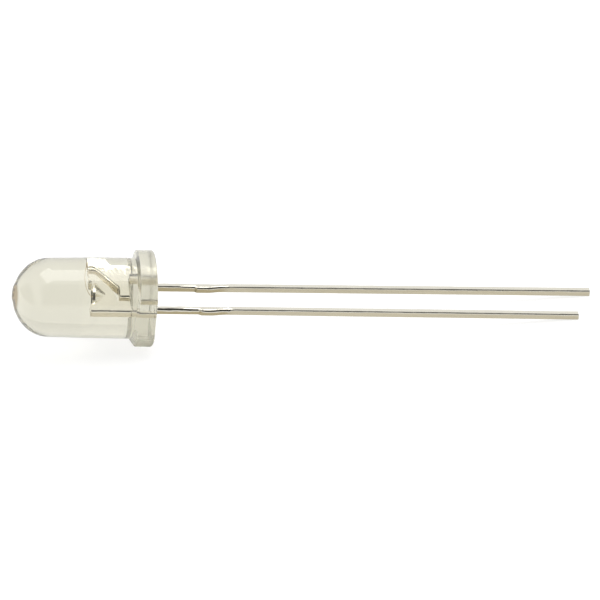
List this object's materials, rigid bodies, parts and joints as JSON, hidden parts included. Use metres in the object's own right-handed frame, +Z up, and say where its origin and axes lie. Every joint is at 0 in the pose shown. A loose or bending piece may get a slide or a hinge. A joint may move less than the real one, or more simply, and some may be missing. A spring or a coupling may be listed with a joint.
{
  "type": "through hole led",
  "caption": "Round light-emitting diode with a clear domed epoxy lens, a flange with a cathode flat and two long straight leads, lying at rest.",
  "frame": {"origin": "on the ground under the middle of the whole part as it lies at rest", "axes": "+X from the dome towards the lead tips, +Y from the cathode side to the anode side, +Z up"},
  "size_m": [0.0361, 0.0056, 0.0061],
  "materials": {
    "clear_epoxy": "clear cast epoxy, moulded gloss",
    "tinned_steel": "stamped steel sheet with tin plating, bright satin",
    "semiconductor": "diced semiconductor crystal",
    "silver_adhesive": "cured silver-filled adhesive, matt",
    "gold": "drawn gold wire"
  },
  "bodies": {
    "root": {"epoxy_lens": "clear_epoxy", "cathode_lead": "tinned_steel", "anode_lead": "tinned_steel", "led_die": "semiconductor", "die_attach": "silver_adhesive", "bond_wire": "gold"}
  },
  "joints": []
}
